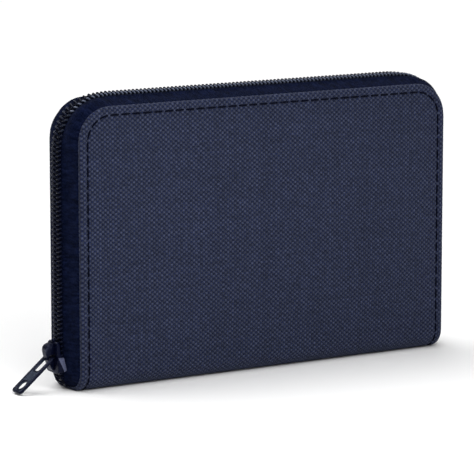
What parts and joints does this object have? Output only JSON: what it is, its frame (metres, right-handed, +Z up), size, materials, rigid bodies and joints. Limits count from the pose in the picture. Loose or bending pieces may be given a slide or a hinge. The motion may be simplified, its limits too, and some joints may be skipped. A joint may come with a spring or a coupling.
{
  "type": "passport holder",
  "caption": "Zip-around fabric passport holder: two padded covers on a folded spine, closed by a coil zip with a slider and pull tab.",
  "frame": {"origin": "middle of the flat foot under the folded spine", "axes": "+X along the spine, away from the end where the slider rests; the front cover faces -Y; +Z up, from the spine to the zip along the top"},
  "size_m": [0.1737, 0.022, 0.101],
  "materials": {
    "outer_fabric": "coarse two-tone navy woven polyester",
    "zip_tape": "fine dark navy twill tape",
    "coil": "dark navy nylon coil, slightly glossy",
    "lining": "smooth navy lining cloth",
    "foam": "soft padding",
    "board": "grey board",
    "slider_paint": "glossy navy paint on a die casting"
  },
  "bodies": {
    "spine": {"spine_fabric": "outer_fabric", "spine_padding": "foam", "spine_lining": "lining", "left_end_tab": "zip_tape", "right_end_tab": "zip_tape"},
    "front_cover": {"front_outer_fabric": "outer_fabric", "front_foam": "foam", "front_board": "board", "front_lining": "lining", "front_zip_tape": "zip_tape", "front_coil": "coil", "passport_pocket": "lining", "passport_pocket_binding": "outer_fabric"},
    "back_cover": {"back_outer_fabric": "outer_fabric", "back_foam": "foam", "back_board": "board", "back_lining": "lining", "back_zip_tape": "zip_tape", "back_coil": "coil", "slip_pocket": "lining", "card_slot_1": "lining", "card_slot_2": "lining", "card_slot_3": "lining"},
    "slider": {"slider_body": "slider_paint", "slider_crown": "slider_paint"},
    "pull_tab": {"pull_tab": "slider_paint"}
  },
  "joints": [
    {"name": "front_cover_fold", "type": "hinge", "parent": "spine", "child": "front_cover", "pos_m": [0, -0.0095, 0.0015], "axis": [1, 0, 0], "range_deg": [0, 90]},
    {"name": "back_cover_fold", "type": "hinge", "parent": "spine", "child": "back_cover", "pos_m": [0, 0.0095, 0.0015], "axis": [-1, 0, 0], "range_deg": [0, 90]},
    {"name": "slider_travel", "type": "slide", "parent": "back_cover", "child": "slider", "axis": [0, 0, 1], "range_m": [0, 0.06]},
    {"name": "pull_tab_swing", "type": "hinge", "parent": "slider", "child": "pull_tab", "pos_m": [-0.0814, 0, 0.0114], "axis": [0, 1, 0], "range_deg": [-50, 129]}
  ]
}
